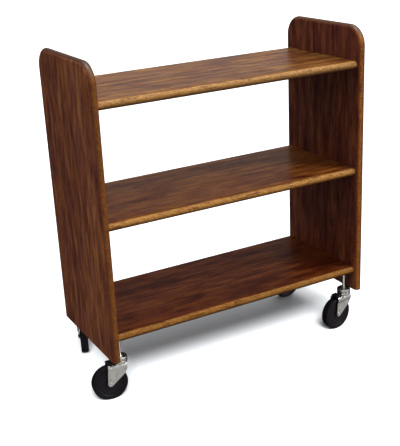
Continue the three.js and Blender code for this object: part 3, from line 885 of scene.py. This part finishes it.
def build_casters():
    fork = fork_mesh()
    tyre = joined("tyre", across_wheel(mirrored(tyre_outline()), sides=96, closed=True))
    core = joined("core", across_wheel(mirrored(rounded(CORE_HALF, cut=0.5)), sides=96, closed=True))
    pedal = joined("pedal", pedal_part())
    stem = joined("stem", lathe(rounded(STEM_OUTLINE, cut=0.8), sides=48))
    raceway = rounded(RACEWAY_OUTLINE, cut=1.2, closed=True, steps=4)
    raceway = joined("raceway", lathe(raceway, sides=72, closed=True))
    pin = joined("pin", across_wheel(mirrored(PIN_HALF), sides=32))
    bolt = joined("bolt", across_wheel(rounded(BOLT_OUTLINE, cut=0.5), sides=48))
    nut = joined("nut", turned(nut_part(), AXLE_WAY))
    for corner in CORNERS:
        base = caster_matrix(corner)
        axle = base @ Matrix.Translation((TRAIL * MM, 0, AXLE_HEIGHT * MM))
        pivot = base @ Matrix.Translation((PIVOT_REACH * MM, 0, PIVOT_HEIGHT * MM))
        swivel, wheel, brake = (f"{corner}_{name}" for name in ("swivel", "wheel", "brake"))

        def add(piece, mesh, matrix, body, material, bevel=0.0):
            node = f"{corner}_{piece}"
            place_mesh(f"{node}_look", mesh, matrix, body, [node], material, bevel)

        add("stem", stem, base, "cart", CHROME)
        add("upper_raceway", raceway, base, "cart", ZINC)
        add("fork", fork, base, swivel, ZINC)
        add("axle_bolt", bolt, axle, swivel, ZINC)
        add("axle_nut", nut, axle, swivel, ZINC)
        add("brake_pin", pin, pivot, swivel, ZINC)
        add("wheel_core", core, axle, wheel, CORE)
        add("tyre", tyre, axle, wheel, RUBBER)
        add("brake_pedal", pedal, pivot, brake, PEDAL, bevel=0.5)
        for piece, material in HIDDEN_PIECES.items():
            mesh = frame["nodes"][f"{corner}_{piece}"].data
            mesh.materials.clear()
            mesh.materials.append(material)


# Room, floor, lamps and camera


def build_room():
    """A pale room: white where it is seen, and dimmer in its light and in its reflections."""
    world = bpy.data.worlds.new("studio")
    bpy.context.scene.world = world
    world.use_nodes = True
    world.cycles.sampling_method = "NONE"
    room = Graph(world.node_tree)
    way = room.place("Generated")
    x, y, z = room.separate(way)

    # Reflections: behind the cart a low bright strip, a dark wall and a bright ceiling; in front a bright
    # wall; below them a floor that is paler in front
    dot = room.node("ShaderNodeVectorMath", {0: way, 1: ACROSS_VIEW}, operation="DOT_PRODUCT")
    aside = room.math("ABSOLUTE", dot.outputs["Value"])
    strip = room.between(room.step(y, 0.0, 0.3), 0.05, room.step(aside, 0.20, 0.50, 1.30, 0.05))
    ceiling = room.step(z, 0.55, 0.85, 0.04, 0.9)
    rear = room.between(room.step(z, 0.08, 0.26, 1.0, 0.0), ceiling, strip)
    walls = room.between(room.step(y, -0.5, -0.1, 1.0, 0.0), rear, 0.8)
    floor = room.step(y, -0.6, 0.1, 0.55, 0.03)
    mirrored_light = room.between(room.step(z, -0.12, 0.12), floor, walls)

    # Soft light: brighter from above and from the right
    soft_light = room.times(room.step(z, -0.2, 0.95, 0.34, 1.60), room.step(x, -1.0, 1.0, 0.70, 1.35))

    path = room.node("ShaderNodeLightPath", {}).outputs
    strength = room.between(path["Is Diffuse Ray"], mirrored_light, soft_light)
    strength = room.between(path["Is Camera Ray"], strength, 1.0)
    light = room.tree.nodes["Background"]
    room.put((1.0, 1.0, 1.0, 1.0), light.inputs["Color"])
    room.put(strength, light.inputs["Strength"])


def build_floor():
    corners = [(-1, -1), (1, -1), (1, 1), (-1, 1)]
    mesh = bpy.data.meshes.new("floor")
    mesh.from_pydata([(FLOOR_HALF * x, FLOOR_HALF * y, 0) for x, y in corners], [], [(0, 1, 2, 3)])
    mesh.materials.append(pale_floor())
    floor = new_object("floor", mesh)
    floor.visible_diffuse = False
    floor.visible_glossy = False
    return floor


def group(name, members, state="INCLUDE"):
    """A collection for a lamp: the members alone, or with EXCLUDE everything but them."""
    collection = bpy.data.collections.new(name)
    for member in members:
        collection.objects.link(member)
    for entry in collection.collection_objects:
        entry.light_linking.link_state = state
    return collection


def sun(name, towards, strength, width, lit, blockers=None):
    """A soft distant lamp. towards points from the cart to it, and width is its size in degrees."""
    data = bpy.data.lights.new(name, "SUN")
    data.energy = strength
    data.angle = math.radians(width)
    lamp = new_object(name, data)
    lamp.rotation_euler = Vector(towards).to_track_quat("Z", "Y").to_euler()
    lamp.light_linking.receiver_collection = lit
    lamp.light_linking.blocker_collection = blockers


def build_lamps(floor):
    steel = [piece for piece in bpy.data.objects if piece.name.endswith(("_fork_look", "_stem_look"))]
    upper = [bpy.data.objects[f"{board}_look"] for board in UPPER_BOARDS]
    boards = [*upper, bpy.data.objects["bottom_shelf_look"]]

    # Two lamps for the cart
    cart = group("for_cart", [floor], "EXCLUDE")
    sun("top", (0.05, 0.05, 1.0), strength=1.45, width=20, lit=cart)
    sun("front", (0.50, -0.53, 0.66), strength=1.95, width=18, lit=cart)

    # Bright edges on the forks and stems, from a lamp that the boards don't block
    metal_lit = group("for_metal", steel)
    not_boards = group("metal_blockers", boards, "EXCLUDE")
    sun("rim", (0.45, 0.80, 0.38), strength=0.9, width=28, lit=metal_lit, blockers=not_boards)

    # Two lamps for the floor, where the panels and upper shelves cast no shadow
    ground = group("for_floor", [floor])
    low = group("low_blockers", upper, "EXCLUDE")
    sun("floor_left", (-0.42, -0.88, 1.00), strength=9.5, width=20, lit=ground, blockers=low)
    sun("floor_right", (-0.05, -0.95, 1.00), strength=5.0, width=20, lit=ground, blockers=low)


def build_camera():
    """A camera ahead of the cart, to its left and above it, with a slight roll."""
    target = Vector((SHIFT.x + AIM_ASIDE, SHIFT.y, SHIFT.z + PANEL_FOOT * MM + AIM_RISE))
    back = Vector((
        -math.sin(AZIMUTH) * math.cos(ELEVATION),
        -math.cos(AZIMUTH) * math.cos(ELEVATION),
        math.sin(ELEVATION),
    ))
    right = (-back).cross(Vector((0, 0, 1))).normalized()
    up = right.cross(-back)
    across = right * math.cos(ROLL) + up * math.sin(ROLL)
    upward = up * math.cos(ROLL) - right * math.sin(ROLL)
    turn = Matrix((across, upward, back)).transposed().to_4x4()
    data = bpy.data.cameras.new("camera")
    data.sensor_width = SENSOR_WIDTH
    data.lens = FOCAL_PIXELS * SENSOR_WIDTH / PICTURE_PIXELS
    data.clip_end = FARTHEST
    camera = new_object("camera", data)
    camera.matrix_world = Matrix.Translation(target + back * DISTANCE) @ turn
    bpy.context.scene.camera = camera


build_boards()
build_casters()
build_room()
build_lamps(build_floor())
build_camera()
bpy.context.scene.view_settings.view_transform = "Standard"
